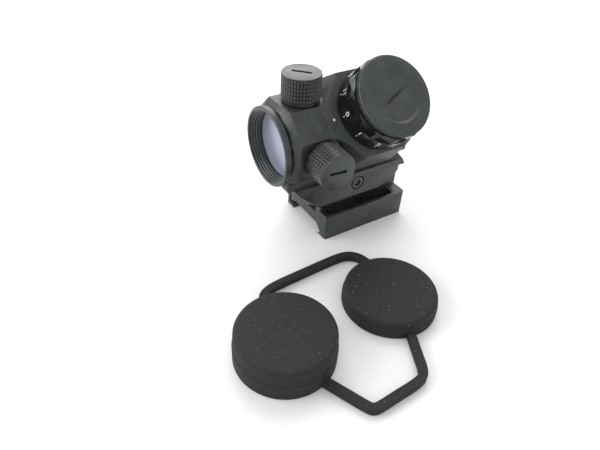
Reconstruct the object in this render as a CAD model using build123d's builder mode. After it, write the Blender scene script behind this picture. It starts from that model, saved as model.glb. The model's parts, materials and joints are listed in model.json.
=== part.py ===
"""Tube red dot sight on a clamp-on riser, with its rubber lens cover lying beside it.

The frame has +Y forward (where the sight looks), +X to the shooter's right and +Z up.
The origin is the middle of the riser's rail seat. All sizes are in millimetres.
"""
import os
from math import sqrt

from build123d import *

os.makedirs("parts", exist_ok=True)

# ---------------------------------------------------------------- driving dimensions
# sight tube
tube_height = 35.4        # tube axis above the rail seat
rim_radius = 14.5         # both end rings
rear_face = -38.2         # eyepiece ring's rear face
front_face = 18.2         # objective ring's front face
rim_width = 2.2           # the part of a ring that stands out of the body
seam_gap = 0.3            # dark seam between a ring and the body
spigot_length = 5.0       # threaded part of a ring, inside the body
spigot_radius = 12.9
spigot_bore = 11.7
bore_radius = 12.4        # body's main bore
lens_recess = 5.0         # eyepiece lens below the ring's face
lens_thickness = 1.8

# body
side_flat = 15.2          # top and side flats at the turrets, from the tube axis
facet = 15.8              # the 45 degree facet that the dial sits on, from the tube axis
block_reach = 22.3        # how far the dial's block stands out, on X and on Z
block_back = -21.0        # block's rear end, before the scoops are cut
block_front = 7.0
section_front = 14.4      # front end of the eight-sided section
block_flank = (14.6, -10.6)   # where the block's lower flank meets the groove
scoop_floor_radius = 7.7  # conical finger room round each turret, cut into the block
scoop_slope = 0.87        # its growth in radius for each millimetre outward
groove_radius = 2.5       # undercut between the body and the foot
groove_x = 13.6
groove_drop = 10.6        # groove's centre below the tube axis
rear_chamfer = 2.6

# foot, which wraps the riser's top rail
foot_half_width = 13.0
foot_back_top = -31.0
foot_back_bottom = -22.6
foot_front = 15.0
foot_nose = 18.1
foot_top = tube_height - 13.2
foot_bottom = tube_height - 23.5
flange_under = tube_height - 15.9
jaw_inside = 10.8

# rail profile (the common 21.2 mm dovetail rail)
rail_top_half = 7.83
rail_max_half = 10.6
rail_bevel = 2.77
rail_slot_width = 5.23
rail_slot_pitch = 10.01
rail_slot_depth = 3.0
rail_clearance = 0.15

# riser
riser_half_width = 14.5
riser_half_length = 19.4
hook_depth = 4.4          # the hooks' lower face below the rail seat
riser_deck = 6.4          # top of the side bars
riser_rail_top = tube_height - 16.4
top_rail_front = 16.0
pocket_floor = 1.6
pocket_front = 14.2
bar_rim = 1.3
rear_wall = 1.3
end_relief = ((1.0, 4.25), (6.8, 7.3), (6.9, 4.25))
end_relief_depth = 10.0
end_post_width = 1.9
end_post_top = 8.2

# clamp screws
clamp_bolt_radius = 2.1
clamp_bolt_z = 0.7
foot_screw_radius = 1.25
foot_screw_y = -5.0
foot_screw_z = tube_height - 17.95
foot_screw_head = 2.45
foot_screw_counterbore = 3.0

cover_room = 2.2          # round each end ring, for a cup of the lens cover

# turrets
turret_y = -24.6
turret_cap_radius = 7.0
turret_cap_top = side_flat + 10.1   # outer face of a turret cap from the tube axis
turret_cap_base = side_flat + 0.6
turret_thread_radius = 5.2
turret_thread_top = side_flat + 4.6
cap_clearance = 0.1

# dial and battery
dial_y = -0.3
dial_radius = 14.9
dial_bore = 12.35
dial_base = facet + 0.3
dial_top = facet + 10.8
hub_radius = 12.25
hub_bore = 10.35
hub_top = facet + 11.3
hub_floor = 4.4
battery_radius = 10.0
battery_thickness = 3.2
battery_cap_base = facet + 11.7
battery_cap_top = facet + 13.4
battery_cap_radius = 14.4
index_dot_radius = 0.45

# optics
optic_tube_radius = 11.3
optic_tube_bore = 10.1
optic_tube_back = -29.4
optic_tube_front = 17.2
pivot_y = 8.0
pivot_ring_width = 4.0
pivot_ring_inner = 11.45
pivot_ring_outer = 12.3
pivot_pin_radius = 0.6

# lens cover: two cups joined by two straps, lying on the table
floor_z = -hook_depth
cup_bore = rim_radius + 0.1
large_cup = (53.8, -60.8)
large_cup_radius = 16.1
large_cup_height = 11.8
small_cup = (52.7, -18.0)
small_cup_radius = 16.2
small_cup_height = 6.6
cup_skirt = 0.4           # the lower half of a cup stands out by this much
cup_roof = 1.8
strap_width = 2.8
strap_thickness = 2.6
strap_lift = 0.3          # straps' underside above the table

root_half = sqrt(0.5)


# ---------------------------------------------------------------- working planes
def across(y):
    """Plane across the tube at a station; a negative extrusion runs forward."""
    return Plane(origin=(0, y, tube_height), x_dir=(1, 0, 0), z_dir=(0, -1, 0))


def upright(y):
    """The same plane with its own origin at the rail seat."""
    return Plane(origin=(0, y, 0), x_dir=(1, 0, 0), z_dir=(0, -1, 0))


def elevation_plane(distance):
    return Plane(origin=(0, turret_y, tube_height + distance), x_dir=(1, 0, 0), z_dir=(0, 0, 1))


def windage_plane(distance):
    return Plane(origin=(distance, turret_y, tube_height), x_dir=(0, 1, 0), z_dir=(1, 0, 0))


def dial_plane(distance):
    reach = distance * root_half
    return Plane(origin=(reach, dial_y, tube_height + reach), x_dir=(0, 1, 0), z_dir=(1, 0, 1))


def side_plane(x):
    """Plane facing right, with local x running forward and local y up."""
    return Plane(origin=(x, 0, 0), x_dir=(0, 1, 0), z_dir=(1, 0, 0))


def tube_ring(back, front, outer, inner=0.0):
    """Plain ring or disc round the tube axis between two stations."""
    with BuildPart() as ring:
        with BuildSketch(across(back)):
            Circle(outer)
            if inner > 0:
                Circle(inner, mode=Mode.SUBTRACT)
        extrude(amount=back - front)
    return ring.part


def disc(plane, radius, height, inner=0.0):
    with BuildPart() as round_piece:
        with BuildSketch(plane):
            Circle(radius)
            if inner > 0:
                Circle(inner, mode=Mode.SUBTRACT)
        extrude(amount=height)
    return round_piece.part


def save(part, name):
    part.label = name
    export_step(part, f"parts/{name}.step")


# ---------------------------------------------------------------- riser
slot_offsets = [foot_screw_y + rail_slot_pitch * step for step in (-1, 0, 1, 2)]
rail_neck = riser_rail_top - 2 * rail_bevel
hook_lip = rail_max_half - (hook_depth - rail_bevel - rail_clearance)
jaw_split = -11.4         # left face of the riser, where the clamp jaw meets it
jaw_gap = 1.9             # slot between the jaw's lower half and the riser
jaw_land = 1.2            # above this height the jaw lies on the riser

with BuildPart() as riser_base:
    # deck with the rail channel under it, the right hook being part of it
    with BuildSketch(upright(-riser_half_length)):
        with BuildLine():
            Polyline(
                (riser_half_width, riser_deck),
                (jaw_split, riser_deck),
                (jaw_split, -rail_bevel / 2),
                (-rail_max_half, -rail_bevel / 2),
                (-rail_top_half, 0),
                (rail_top_half, 0),
                (rail_max_half, -rail_bevel),
                (rail_max_half, -rail_bevel - rail_clearance),
                (hook_lip, -hook_depth),
                (riser_half_width, -hook_depth),
                close=True,
            )
        make_face()
    extrude(amount=-2 * riser_half_length)
    # column and top rail
    with BuildSketch(upright(-riser_half_length)):
        with BuildLine():
            Polyline(
                (rail_top_half, riser_deck),
                (rail_top_half, rail_neck),
                (rail_max_half, rail_neck + rail_bevel),
                (rail_top_half, riser_rail_top),
                (-rail_top_half, riser_rail_top),
                (-rail_max_half, rail_neck + rail_bevel),
                (-rail_top_half, rail_neck),
                (-rail_top_half, riser_deck),
                close=True,
            )
        make_face()
    extrude(amount=-2 * riser_half_length)
    # the top rail stops short of the front end
    with BuildSketch(upright(riser_half_length)):
        with Locations((0, riser_rail_top)):
            Rectangle(2 * rail_max_half + 2, 2 * (riser_rail_top - rail_neck))
    extrude(amount=riser_half_length - top_rail_front, mode=Mode.SUBTRACT)
    # cross slots of the top rail
    for offset in slot_offsets:
        with BuildSketch(Plane(origin=(0, offset, riser_rail_top), z_dir=(0, 0, -1))):
            Rectangle(2 * rail_max_half + 2, rail_slot_width)
        extrude(amount=rail_slot_depth, mode=Mode.SUBTRACT)
    # long pocket between the column and the right bar
    pocket_width = riser_half_width - bar_rim - rail_top_half
    pocket_length = pocket_front + riser_half_length - rear_wall
    with BuildSketch(Plane.XY.offset(riser_deck)):
        with Locations((rail_top_half + pocket_width / 2, pocket_front - pocket_length / 2)):
            RectangleRounded(pocket_width, pocket_length, 1.2)
    extrude(amount=pocket_floor - riser_deck, mode=Mode.SUBTRACT)
    # rear end: triangular relief, and a post beside the column
    with BuildSketch(upright(-riser_half_length)):
        with BuildLine():
            Polyline(*end_relief, close=True)
        make_face()
    extrude(amount=-end_relief_depth, mode=Mode.SUBTRACT)
    with BuildSketch(Plane(origin=(rail_top_half, -riser_half_length, pocket_floor), z_dir=(0, 0, 1))):
        Rectangle(end_post_width, rear_wall, align=(Align.MIN, Align.MIN))
    extrude(amount=end_post_top - pocket_floor)
    # hole for the clamp bolt, right through both sides
    with BuildSketch(side_plane(-riser_half_width)):
        with Locations((0, clamp_bolt_z)):
            Circle(clamp_bolt_radius + 0.05)
    extrude(amount=2 * riser_half_width, mode=Mode.SUBTRACT)
    # blind holes for the jaw's guide pins
    guide_pin_y = 13.0
    guide_pin_z = 3.8
    guide_pin_radius = 1.0
    guide_pin_depth = 4.0
    with BuildSketch(side_plane(jaw_split)):
        with Locations((-guide_pin_y, guide_pin_z), (guide_pin_y, guide_pin_z)):
            Circle(guide_pin_radius)
    extrude(amount=guide_pin_depth, mode=Mode.SUBTRACT)
    outer_edges = riser_base.edges().filter_by(Axis.Z).group_by(Axis.X)[-1]
    fillet(outer_edges, 0.8)
save(riser_base.part, "riser_base")

jaw_outer = -riser_half_width
jaw_top = 5.4
with BuildPart() as riser_clamp_jaw:
    with BuildSketch(upright(-riser_half_length)):
        with BuildLine():
            Polyline(
                (jaw_outer, jaw_top),
                (jaw_outer, -hook_depth),
                (-hook_lip, -hook_depth),
                (-rail_max_half, -rail_bevel - rail_clearance),
                (-rail_max_half - jaw_gap, -rail_bevel - rail_clearance),
                (-rail_max_half - jaw_gap, jaw_land),
                (jaw_split, jaw_land),
                (jaw_split, jaw_top),
                close=True,
            )
        make_face()
    extrude(amount=-2 * riser_half_length)
    with BuildSketch(side_plane(jaw_outer)):
        with Locations((0, clamp_bolt_z)):
            Circle(clamp_bolt_radius + 0.05)
        with Locations((-guide_pin_y, guide_pin_z), (guide_pin_y, guide_pin_z)):
            Circle(guide_pin_radius + 0.05)
    extrude(amount=riser_half_width, mode=Mode.SUBTRACT)
    fillet(riser_clamp_jaw.edges().filter_by(Axis.Z).group_by(Axis.X)[0], 0.8)
save(riser_clamp_jaw.part, "riser_clamp_jaw")

bolt_head_radius = 3.6
bolt_head_height = 3.2
hex_key = 3.0
with BuildPart() as riser_clamp_bolt:
    with BuildSketch(side_plane(jaw_outer - 0.05)):
        with Locations((0, clamp_bolt_z)):
            Circle(clamp_bolt_radius)
    extrude(amount=2 * riser_half_width)
    with BuildSketch(side_plane(jaw_outer - 0.05)):
        with Locations((0, clamp_bolt_z)):
            Circle(bolt_head_radius)
    extrude(amount=-bolt_head_height)
    with BuildSketch(side_plane(jaw_outer - 0.05 - bolt_head_height)):
        with Locations((0, clamp_bolt_z)):
            RegularPolygon(hex_key / 2, 6, major_radius=False)
    extrude(amount=bolt_head_height * 0.6, mode=Mode.SUBTRACT)
save(riser_clamp_bolt.part, "riser_clamp_bolt")

with BuildPart() as jaw_guide_pins:
    with BuildSketch(side_plane(jaw_split + guide_pin_depth)):
        with Locations((-guide_pin_y, guide_pin_z), (guide_pin_y, guide_pin_z)):
            Circle(guide_pin_radius)
    extrude(amount=-(guide_pin_depth + jaw_split - jaw_outer) + 0.4)
save(jaw_guide_pins.part, "jaw_guide_pins")

# ---------------------------------------------------------------- housing
body_back = rear_face + rim_width + seam_gap
body_front = front_face - rim_width - seam_gap
corner = facet * sqrt(2) - side_flat
block_corner = facet * sqrt(2) - block_reach
left_shoulder = (-13.0, 13.0)
belly = -13.2
belly_half_width = 12.0
flank_foot = -10.0

with BuildPart() as housing:
    # eight-sided turret section
    with BuildSketch(across(body_back)):
        with BuildLine():
            Polyline(
                (corner, side_flat),
                (side_flat, corner),
                (side_flat, -corner),
                (belly_half_width, flank_foot),
                (belly_half_width, belly),
                (-belly_half_width, belly),
                (-belly_half_width, flank_foot),
                (-side_flat, -corner),
                (-side_flat, corner),
                (-corner, side_flat),
                close=True,
            )
        make_face()
    extrude(amount=-(section_front - body_back))
    rear_rim = housing.faces().sort_by(Axis.Y)[0].edges().filter_by(lambda e: e.center().Z > tube_height - 8)
    chamfer(rear_rim, rear_chamfer)
    # block under the dial
    with BuildSketch(across(block_back)):
        with BuildLine():
            Polyline(
                (block_corner, block_reach),
                (block_reach, block_corner),
                block_flank,
                (belly_half_width, belly),
                (-belly_half_width, belly),
                (-side_flat, -corner),
                (-side_flat, 9.5),
                left_shoulder,
                close=True,
            )
        make_face()
    extrude(amount=-(block_front - block_back))
    # round nose that takes the objective ring
    with BuildSketch(across(section_front)):
        Circle(side_flat)
    extrude(amount=-(body_front - section_front))
    # conical finger scoops round the turrets
    scoop_height = 2 * block_reach
    for plane in (elevation_plane(side_flat), windage_plane(side_flat)):
        with Locations(plane):
            Cone(
                scoop_floor_radius,
                scoop_floor_radius + scoop_height * scoop_slope,
                scoop_height,
                align=(Align.CENTER, Align.CENTER, Align.MIN),
                mode=Mode.SUBTRACT,
            )
    # foot round the riser's rail
    with BuildSketch(side_plane(-foot_half_width)):
        with BuildLine():
            Polyline(
                (body_back + 2.4, foot_top),
                (foot_back_top, flange_under),
                (foot_back_bottom, foot_bottom),
                (6.6, foot_bottom),
                (foot_front - 2.6, foot_bottom + 2.9),
                (foot_front, foot_bottom + 5.4),
                (foot_front, flange_under),
                (foot_nose, flange_under),
                (foot_front + 0.6, foot_top + 1.6),
                (body_back + 2.4, foot_top + 1.6),
                close=True,
            )
        make_face()
    extrude(amount=2 * foot_half_width)
    # undercut grooves
    with BuildSketch(across(body_back - 1)):
        with Locations((groove_x, -groove_drop), (-groove_x, -groove_drop)):
            Circle(groove_radius)
    extrude(amount=-(foot_nose - body_back + 2), mode=Mode.SUBTRACT)
    # rail channel in the foot: right hook is solid, the left side is open for the plate
    with BuildSketch(upright(foot_back_top - 4)):
        with BuildLine():
            Polyline(
                (rail_top_half, riser_rail_top),
                (rail_max_half, rail_neck + rail_bevel),
                (jaw_inside, rail_neck + rail_bevel),
                (jaw_inside, rail_neck + rail_bevel - 0.2),
                (rail_top_half + 0.4, rail_neck - 0.1),
                (rail_top_half + 0.4, foot_bottom - 1),
                (-foot_half_width - 1, foot_bottom - 1),
                (-foot_half_width - 1, riser_rail_top),
                close=True,
            )
        make_face()
    extrude(amount=-70, mode=Mode.SUBTRACT)
    # main bore and the threads' counterbores
    with BuildSketch(across(body_back)):
        Circle(bore_radius)
    extrude(amount=-(body_front - body_back), mode=Mode.SUBTRACT)
    with BuildSketch(across(body_back)):
        Circle(spigot_radius)
    extrude(amount=-(spigot_length + seam_gap), mode=Mode.SUBTRACT)
    with BuildSketch(across(body_front)):
        Circle(spigot_radius)
    extrude(amount=spigot_length + seam_gap, mode=Mode.SUBTRACT)
    # room for the objective ring and a cup of the lens cover over the foot's nose
    with BuildSketch(across(body_front)):
        Circle(rim_radius + cover_room)
    extrude(amount=-foot_nose, mode=Mode.SUBTRACT)
    # holes for the turret collars, and the dial's lead
    for plane in (elevation_plane(0), windage_plane(0)):
        with BuildSketch(plane):
            Circle(turret_thread_radius)
        extrude(amount=block_reach, mode=Mode.SUBTRACT)
    with BuildSketch(dial_plane(bore_radius - 1)):
        Circle(1.6)
    extrude(amount=facet, mode=Mode.SUBTRACT)
    # cross screw: counterbore and clearance hole in the right wall
    with BuildSketch(side_plane(foot_half_width)):
        with Locations((foot_screw_y, foot_screw_z)):
            Circle(foot_screw_counterbore)
    extrude(amount=-1.3, mode=Mode.SUBTRACT)
    with BuildSketch(side_plane(foot_half_width)):
        with Locations((foot_screw_y, foot_screw_z)):
            Circle(foot_screw_radius + 0.05)
    extrude(amount=-foot_half_width, mode=Mode.SUBTRACT)
    # holes for the pivot pins
    for tip in (1, -1):
        pin_plane = Plane(origin=(0, pivot_y, tube_height), z_dir=(0, 0, tip))
        with BuildSketch(pin_plane):
            Circle(pivot_pin_radius + 0.05)
        extrude(amount=bore_radius + 0.9, mode=Mode.SUBTRACT)
save(housing.part, "housing")

# ---------------------------------------------------------------- foot clamp
plate_back = -20.0
plate_front = 8.0
with BuildPart() as foot_clamp_plate:
    with BuildSketch(upright(plate_back)):
        with BuildLine():
            Polyline(
                (-foot_half_width, riser_rail_top - 0.1),
                (-foot_half_width, foot_bottom),
                (-rail_top_half - 0.5, foot_bottom),
                (-rail_top_half - 0.5, rail_neck - 0.1),
                (-rail_max_half - 0.15, rail_neck + rail_bevel - 0.1),
                (-rail_max_half - 0.15, riser_rail_top - 0.1),
                close=True,
            )
        make_face()
    extrude(amount=plate_back - plate_front)
    with BuildSketch(side_plane(-foot_half_width)):
        with Locations((foot_screw_y, foot_screw_z)):
            Circle(foot_screw_radius + 0.05)
    extrude(amount=foot_half_width, mode=Mode.SUBTRACT)
    fillet(foot_clamp_plate.edges().filter_by(Axis.Z).group_by(Axis.X)[0], 0.8)
save(foot_clamp_plate.part, "foot_clamp_plate")

screw_head_height = 1.2
lobe_radius = 0.55
with BuildPart() as foot_cross_screw:
    with BuildSketch(side_plane(foot_half_width - 0.05)):
        with Locations((foot_screw_y, foot_screw_z)):
            Circle(foot_screw_head)
    extrude(amount=-screw_head_height)
    with BuildSketch(side_plane(foot_half_width - 0.05)):
        with Locations((foot_screw_y, foot_screw_z)):
            Circle(foot_screw_radius)
    extrude(amount=-2 * foot_half_width + 0.4)
    with BuildSketch(side_plane(foot_half_width - 0.05)):
        with Locations((foot_screw_y, foot_screw_z)):
            Circle(1.0)
            with PolarLocations(1.0, 6):
                Circle(lobe_radius)
    extrude(amount=-0.8, mode=Mode.SUBTRACT)
save(foot_cross_screw.part, "foot_cross_screw")

# ---------------------------------------------------------------- end rings, seals and rear glass
def end_ring(face, inward):
    """End ring: a rim with a coned mouth and a threaded spigot. inward is +1 at the rear end."""
    rim_end = face + inward * rim_width
    spigot_end = rim_end + inward * (seam_gap + spigot_length)
    with BuildPart() as ring:
        with BuildSketch(Plane(origin=(0, 0, tube_height), x_dir=(0, 1, 0), z_dir=(1, 0, 0))):
            with BuildLine():
                Polyline(
                    (face + inward * 0.5, rim_radius),
                    (rim_end, rim_radius),
                    (rim_end, spigot_radius),
                    (spigot_end, spigot_radius),
                    (spigot_end, spigot_bore),
                    (face + inward * 4.6, spigot_bore),
                    (face + inward * 0.2, rim_radius - 1.3),
                    (face, rim_radius - 1.0),
                    (face, rim_radius - 0.5),
                    close=True,
                )
            make_face()
        revolve(axis=Axis((0, 0, tube_height), (0, 1, 0)))
    return ring.part


lens_back = rear_face + lens_recess
spigot_end_rear = rear_face + rim_width + seam_gap + spigot_length
save(end_ring(rear_face, 1), "eyepiece_ring")
save(end_ring(front_face, -1), "objective_ring")
save(tube_ring(lens_back, lens_back + lens_thickness, spigot_bore), "eyepiece_lens")
eyepiece_clip = tube_ring(lens_back + lens_thickness, spigot_end_rear, spigot_bore, 10.4)
save(eyepiece_clip, "eyepiece_clip_ring")
save(tube_ring(rear_face + rim_width, rear_face + rim_width + seam_gap, 13.9, spigot_radius), "eyepiece_seal")
save(tube_ring(front_face - rim_width - seam_gap, front_face - rim_width, 13.9, spigot_radius), "objective_seal")

# ---------------------------------------------------------------- inner tube on its pivot ring
def cross_hole(plane, radius, length):
    with BuildPart() as cutter:
        with BuildSketch(plane):
            Circle(radius)
        extrude(amount=length, both=True)
    return cutter.part


pivot_back = pivot_y - pivot_ring_width / 2
pivot_front = pivot_y + pivot_ring_width / 2
upright_pins = Plane(origin=(0, pivot_y, tube_height), z_dir=(0, 0, 1))
level_pins = Plane(origin=(0, pivot_y, tube_height), z_dir=(1, 0, 0))
inner_tube = tube_ring(optic_tube_back, optic_tube_front, optic_tube_radius, optic_tube_bore)
inner_tube -= cross_hole(level_pins, pivot_pin_radius + 0.05, optic_tube_radius + 1)
save(inner_tube, "inner_tube")

pivot_ring = tube_ring(pivot_back, pivot_front, pivot_ring_outer, pivot_ring_inner)
pivot_ring -= cross_hole(level_pins, pivot_pin_radius, bore_radius)
pivot_ring -= cross_hole(upright_pins, pivot_pin_radius, bore_radius)
save(pivot_ring, "pivot_ring")

with BuildPart() as pivot_pins:
    for tip in (1, -1):
        with BuildSketch(Plane(origin=(0, pivot_y, tube_height + tip * pivot_ring_inner), z_dir=(0, 0, tip))):
            Circle(pivot_pin_radius)
        extrude(amount=bore_radius + 0.8 - pivot_ring_inner)
        with BuildSketch(Plane(origin=(tip * pivot_ring_outer, pivot_y, tube_height), z_dir=(-tip, 0, 0))):
            Circle(pivot_pin_radius)
        extrude(amount=pivot_ring_outer - optic_tube_bore - 0.1)
save(pivot_pins.part, "pivot_pins")

# cemented pair of objective lenses and their lock ring
lens_rear_y = 9.6
lens_join_y = 12.6
lens_front_y = 14.6
bulge = 1.2
lens_radius = optic_tube_bore
turning = Plane(origin=(0, 0, tube_height), x_dir=(0, 1, 0), z_dir=(1, 0, 0))


def sag(depth, at):
    """Depth of a ball-shaped face at a radius, from its depth at the lens's edge."""
    ball = (depth * depth + lens_radius * lens_radius) / (2 * abs(depth))
    fall = ball - sqrt(ball * ball - at * at)
    return fall if depth > 0 else -fall


def lens(back_pole, back_edge, front_pole, front_edge):
    """Lens turned about the tube axis, each face given at its middle and at its edge."""
    middle = lens_radius * 0.5
    with BuildPart() as glass:
        with BuildSketch(turning):
            with BuildLine():
                back_mid = back_pole + sag(back_edge - back_pole, middle)
                front_mid = front_pole + sag(front_edge - front_pole, middle)
                ThreePointArc((back_pole, 0), (back_mid, middle), (back_edge, lens_radius))
                Line((back_edge, lens_radius), (front_edge, lens_radius))
                ThreePointArc((front_edge, lens_radius), (front_mid, middle), (front_pole, 0))
                Line((front_pole, 0), (back_pole, 0))
            make_face()
        revolve(axis=Axis((0, 0, tube_height), (0, 1, 0)))
    return glass.part


save(lens(lens_rear_y, lens_rear_y + 0.6, lens_join_y, lens_join_y - bulge), "objective_lens_rear")
save(lens(lens_join_y, lens_join_y - bulge, lens_front_y, lens_front_y - 0.5), "objective_lens_front")
save(tube_ring(lens_front_y - 0.4, optic_tube_front - 0.4, optic_tube_bore, 9.1), "lens_lock_ring")

# red emitter on its bracket, low on the right inside the inner tube
emitter_y = -24.0
with BuildPart() as led_bracket:
    with BuildSketch(across(emitter_y)):
        Circle(optic_tube_bore)
        Circle(optic_tube_bore - 1.0, mode=Mode.SUBTRACT)
        with Locations((8, -8)):
            Rectangle(12, 12, mode=Mode.INTERSECT)
    extrude(amount=-3.0)
save(led_bracket.part, "led_bracket")

emitter_reach = optic_tube_bore - 1.0
emitter_plane = Plane(
    origin=(emitter_reach * root_half, emitter_y + 1.5, tube_height - emitter_reach * root_half),
    x_dir=(0, 1, 0),
    z_dir=(-1, 0, 1),
)
with BuildPart() as led_emitter:
    with BuildSketch(emitter_plane.offset(-0.2)):
        Rectangle(2.2, 2.2)
    extrude(amount=1.3)
    with BuildSketch(emitter_plane.offset(1.1)):
        Circle(0.7)
    extrude(amount=0.6)
save(led_emitter.part - led_bracket.part, "led_emitter")

# leaf spring that presses the inner tube up against both adjusters
leaf_width = 5.0
with BuildPart() as bias_spring:
    with BuildSketch(across(turret_y - leaf_width / 2)):
        Circle(bore_radius - 0.25)
        Circle(bore_radius - 0.55, mode=Mode.SUBTRACT)
        with Locations((-bore_radius * 0.8, -bore_radius * 0.8)):
            Rectangle(bore_radius * 0.95, bore_radius * 0.95, rotation=45, mode=Mode.INTERSECT)
    extrude(amount=-leaf_width)
save(bias_spring.part, "bias_spring")

# ---------------------------------------------------------------- turrets
adjuster_tip = optic_tube_radius + 0.42
collar_floor = bore_radius + 0.5
adjuster_head_base = 17.4
adjuster_shank_radius = 1.6
adjuster_head_radius = 3.3
cap_cavity_top = turret_cap_base + 5.0
slot_length = 7.0
slot_width = 1.3
slot_depth = 0.8


def turret_collar(plane_at):
    """Threaded collar: the adjuster turns inside it and the cap screws on outside."""
    with BuildPart() as collar:
        with BuildSketch(plane_at(collar_floor)):
            Circle(turret_thread_radius)
            Circle(adjuster_shank_radius + 0.05, mode=Mode.SUBTRACT)
        extrude(amount=turret_thread_top - collar_floor)
        with BuildSketch(plane_at(turret_thread_top)):
            Circle(adjuster_head_radius + 0.1)
        extrude(amount=adjuster_head_base - turret_thread_top - 0.1, mode=Mode.SUBTRACT)
    return collar.part


def turret_adjuster(plane_at):
    with BuildPart() as screw:
        with BuildSketch(plane_at(adjuster_tip)):
            Circle(adjuster_shank_radius)
        extrude(amount=adjuster_head_base - adjuster_tip)
        with BuildSketch(plane_at(adjuster_head_base)):
            Circle(adjuster_head_radius)
        extrude(amount=1.8)
        with BuildSketch(plane_at(adjuster_head_base + 1.8)):
            Rectangle(2 * adjuster_head_radius + 1, 0.9)
        extrude(amount=-0.8, mode=Mode.SUBTRACT)
    return screw.part


turrets = {"elevation": (elevation_plane, 45), "windage": (windage_plane, -5)}
seal_height = turret_cap_base - side_flat - 0.1
seal_outer = turret_cap_radius - 0.4
for turret, (plane_at, slot_turn) in turrets.items():
    save(turret_collar(plane_at), f"{turret}_collar")
    save(turret_adjuster(plane_at), f"{turret}_adjuster")
    save(disc(plane_at(side_flat + 0.05), seal_outer, seal_height, turret_thread_radius + cap_clearance),
         f"{turret}_cap_seal")
    with BuildPart() as cap:
        with BuildSketch(plane_at(turret_cap_base)):
            Circle(turret_cap_radius)
        extrude(amount=turret_cap_top - turret_cap_base)
        with BuildSketch(plane_at(turret_cap_base)):
            Circle(turret_thread_radius + cap_clearance)
        extrude(amount=cap_cavity_top - turret_cap_base, mode=Mode.SUBTRACT)
        with BuildSketch(plane_at(turret_cap_top)):
            Rectangle(slot_length, slot_width, rotation=slot_turn)
        extrude(amount=-slot_depth, mode=Mode.SUBTRACT)
    save(cap.part, f"{turret}_cap")

# ---------------------------------------------------------------- brightness dial and battery
hub_floor_top = facet + hub_floor
board_thickness = 0.8
spring_height = 0.6
battery_base = hub_floor_top + board_thickness + spring_height
battery_spring_height = 0.5
cap_spigot_bottom = battery_base + battery_thickness + battery_spring_height

with BuildPart() as dial_hub:
    with BuildSketch(dial_plane(facet)):
        Circle(hub_radius)
    extrude(amount=hub_top - facet)
    with BuildSketch(dial_plane(hub_floor_top)):
        Circle(hub_bore)
    extrude(amount=hub_top - hub_floor_top, mode=Mode.SUBTRACT)
    with BuildSketch(dial_plane(facet)):
        Circle(1.6)
    extrude(amount=hub_floor, mode=Mode.SUBTRACT)
    # sideways hole for the detent
    detent_height = facet + hub_floor / 2 + 0.1
    detent_radius = 0.6
    detent_start = 9.2
    detent_plane = Plane(
        origin=dial_plane(detent_height).origin + Vector(0, 1, 0) * detent_start,
        x_dir=(1, 0, -1),
        z_dir=(0, 1, 0),
    )
    with BuildSketch(detent_plane):
        Circle(detent_radius + 0.05)
    extrude(amount=hub_radius - detent_start, mode=Mode.SUBTRACT)
save(dial_hub.part, "dial_hub")

spring_length = hub_radius - detent_start - 1.2
with BuildPart() as detent_spring:
    with BuildSketch(detent_plane):
        Circle(detent_radius - 0.05)
        Circle(detent_radius - 0.25, mode=Mode.SUBTRACT)
    extrude(amount=spring_length)
save(detent_spring.part, "detent_spring")
with BuildPart() as detent_ball:
    with Locations(detent_plane.offset(spring_length + detent_radius + 0.02)):
        Sphere(detent_radius)
save(detent_ball.part, "detent_ball")

with BuildPart() as brightness_dial:
    with BuildSketch(dial_plane(dial_base)):
        Circle(dial_radius)
        Circle(dial_bore, mode=Mode.SUBTRACT)
    extrude(amount=dial_top - dial_base)
    with BuildSketch(dial_plane(dial_base)):
        Circle(dial_bore + 1.0)
    extrude(amount=0.4, mode=Mode.SUBTRACT)
save(brightness_dial.part, "brightness_dial")
save(disc(dial_plane(facet + 0.05), dial_bore + 0.8, 0.5, hub_radius), "dial_seal")
save(disc(dial_plane(dial_top + 0.05), 13.6, 0.4, hub_radius), "dial_retaining_ring")

save(disc(dial_plane(hub_floor_top), hub_bore - 0.2, board_thickness, 0.8), "circuit_board")
board_spring_base = hub_floor_top + board_thickness
save(disc(dial_plane(board_spring_base), 6.0, spring_height, 4.6), "battery_contact_spring")
with BuildPart() as battery:
    with BuildSketch(dial_plane(battery_base)):
        Circle(battery_radius - 0.9)
    extrude(amount=0.3)
    with BuildSketch(dial_plane(battery_base + 0.3)):
        Circle(battery_radius)
    extrude(amount=battery_thickness - 0.3)
save(battery.part, "battery")
with BuildPart() as battery_side_contact:
    with BuildSketch(dial_plane(board_spring_base)):
        Circle(hub_bore)
        Circle(battery_radius + 0.05, mode=Mode.SUBTRACT)
        with Locations((-hub_bore, 0)):
            Rectangle(3.0, 4.0, mode=Mode.INTERSECT)
    extrude(amount=spring_height + battery_thickness - 0.4)
save(battery_side_contact.part, "battery_side_contact")

coin_slot_length = 13.0
coin_slot_width = 1.7
coin_slot_turn = 25
with BuildPart() as battery_cap:
    with BuildSketch(dial_plane(battery_cap_base)):
        Circle(battery_cap_radius)
    extrude(amount=battery_cap_top - battery_cap_base)
    with BuildSketch(dial_plane(battery_cap_base)):
        Circle(hub_bore - cap_clearance)
        Circle(battery_radius - 1.4, mode=Mode.SUBTRACT)
    extrude(amount=cap_spigot_bottom - battery_cap_base)
    with BuildSketch(dial_plane(battery_cap_top)):
        SlotOverall(coin_slot_length, coin_slot_width, rotation=coin_slot_turn)
    extrude(amount=-1.4, mode=Mode.SUBTRACT)
save(battery_cap.part, "battery_cap")
save(disc(dial_plane(hub_top + 0.02), 11.8, battery_cap_base - hub_top - 0.04, hub_bore + 0.1), "battery_cap_seal")
battery_top = battery_base + battery_thickness
save(disc(dial_plane(battery_top + 0.05), 5.0, battery_cap_base - battery_top - 0.05, 4.2), "battery_cap_spring")

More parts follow.
